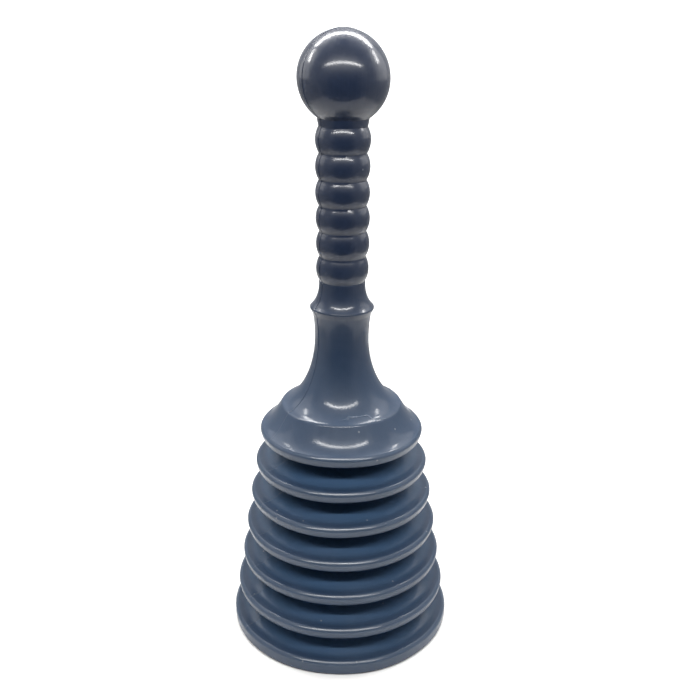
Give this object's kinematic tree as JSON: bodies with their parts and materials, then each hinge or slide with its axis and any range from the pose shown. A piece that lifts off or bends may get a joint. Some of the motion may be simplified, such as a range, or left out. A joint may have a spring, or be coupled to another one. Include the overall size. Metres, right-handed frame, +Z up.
{
  "type": "bellows toilet plunger",
  "caption": "One-piece blow-moulded plunger: ball knob and ribbed grip on a bell over a tapering stack of bellows folds, open at the bottom.",
  "frame": {"origin": "on the floor at the centre of the mouth, where the foot ring rests", "axes": "+Z up the handle; +X to the right and -Y towards the viewer of the front"},
  "size_m": [0.1234, 0.1234, 0.3246],
  "materials": {
    "handle_plastic": "glossy slate blue polyethylene with a raised parting line",
    "bellows_plastic": "glossy slate blue polyethylene, thinner wall",
    "mouth_plastic": "glossy slate blue polyethylene, trimmed edge"
  },
  "bodies": {
    "mouth": {"mouth_rim": "mouth_plastic"},
    "root_6": {"fold_6_root": "bellows_plastic", "fold_6_top": "bellows_plastic"},
    "rim_5": {"fold_5_rim": "bellows_plastic", "fold_6_underside": "bellows_plastic"},
    "root_5": {"fold_5_root": "bellows_plastic", "fold_5_top": "bellows_plastic"},
    "rim_4": {"fold_4_rim": "bellows_plastic", "fold_5_underside": "bellows_plastic"},
    "root_4": {"fold_4_root": "bellows_plastic", "fold_4_top": "bellows_plastic"},
    "rim_3": {"fold_3_rim": "bellows_plastic", "fold_4_underside": "bellows_plastic"},
    "root_3": {"fold_3_root": "bellows_plastic", "fold_3_top": "bellows_plastic"},
    "rim_2": {"fold_2_rim": "bellows_plastic", "fold_3_underside": "bellows_plastic"},
    "root_2": {"fold_2_root": "bellows_plastic", "fold_2_top": "bellows_plastic"},
    "rim_1": {"fold_1_rim": "bellows_plastic", "fold_2_underside": "bellows_plastic"},
    "root_1": {"fold_1_root": "bellows_plastic", "fold_1_top": "bellows_plastic"},
    "handle": {"handle": "handle_plastic", "fold_1_underside": "bellows_plastic"}
  },
  "joints": [
    {"name": "compress_6", "type": "slide", "parent": "mouth", "child": "root_6", "axis": [0, 0, 1], "range_m": [-0.0075, 0.002], "stiffness_N_per_m": 6000, "deforming": ["fold_6_top"]},
    {"name": "bend_6", "type": "hinge", "parent": "root_6", "child": "rim_5", "pos_m": [0, 0, 0.01738], "axis": [1, 0, 0], "range_deg": [-3.5, 3.5], "stiffness_Nm_per_rad": 21, "deforming": ["fold_6_underside"]},
    {"name": "compress_5", "type": "slide", "parent": "rim_5", "child": "root_5", "axis": [0, 0, 1], "range_m": [-0.0075, 0.002], "stiffness_N_per_m": 6000, "deforming": ["fold_5_top"]},
    {"name": "bend_5", "type": "hinge", "parent": "root_5", "child": "rim_4", "pos_m": [0, 0, 0.03606], "axis": [0, 1, 0], "range_deg": [-3.5, 3.5], "stiffness_Nm_per_rad": 21, "deforming": ["fold_5_underside"]},
    {"name": "compress_4", "type": "slide", "parent": "rim_4", "child": "root_4", "axis": [0, 0, 1], "range_m": [-0.0075, 0.002], "stiffness_N_per_m": 6000, "deforming": ["fold_4_top"]},
    {"name": "bend_4", "type": "hinge", "parent": "root_4", "child": "rim_3", "pos_m": [0, 0, 0.05474], "axis": [1, 0, 0], "range_deg": [-3.5, 3.5], "stiffness_Nm_per_rad": 21, "deforming": ["fold_4_underside"]},
    {"name": "compress_3", "type": "slide", "parent": "rim_3", "child": "root_3", "axis": [0, 0, 1], "range_m": [-0.0075, 0.002], "stiffness_N_per_m": 6000, "deforming": ["fold_3_top"]},
    {"name": "bend_3", "type": "hinge", "parent": "root_3", "child": "rim_2", "pos_m": [0, 0, 0.07342], "axis": [0, 1, 0], "range_deg": [-3.5, 3.5], "stiffness_Nm_per_rad": 21, "deforming": ["fold_3_underside"]},
    {"name": "compress_2", "type": "slide", "parent": "rim_2", "child": "root_2", "axis": [0, 0, 1], "range_m": [-0.0075, 0.002], "stiffness_N_per_m": 6000, "deforming": ["fold_2_top"]},
    {"name": "bend_2", "type": "hinge", "parent": "root_2", "child": "rim_1", "pos_m": [0, 0, 0.0921], "axis": [1, 0, 0], "range_deg": [-3.5, 3.5], "stiffness_Nm_per_rad": 21, "deforming": ["fold_2_underside"]},
    {"name": "compress_1", "type": "slide", "parent": "rim_1", "child": "root_1", "axis": [0, 0, 1], "range_m": [-0.0075, 0.002], "stiffness_N_per_m": 6000, "deforming": ["fold_1_top"]},
    {"name": "bend_1", "type": "hinge", "parent": "root_1", "child": "handle", "pos_m": [0, 0, 0.11078], "axis": [0, 1, 0], "range_deg": [-3.5, 3.5], "stiffness_Nm_per_rad": 21, "deforming": ["fold_1_underside"]}
  ],
  "couplings": [
    {"joint": "compress_5", "follows": "compress_6", "ratio": 1},
    {"joint": "compress_4", "follows": "compress_6", "ratio": 1},
    {"joint": "compress_3", "follows": "compress_6", "ratio": 1},
    {"joint": "compress_2", "follows": "compress_6", "ratio": 1},
    {"joint": "compress_1", "follows": "compress_6", "ratio": 1},
    {"joint": "bend_4", "follows": "bend_6", "ratio": 1},
    {"joint": "bend_2", "follows": "bend_6", "ratio": 1},
    {"joint": "bend_3", "follows": "bend_5", "ratio": 1},
    {"joint": "bend_1", "follows": "bend_5", "ratio": 1}
  ]
}
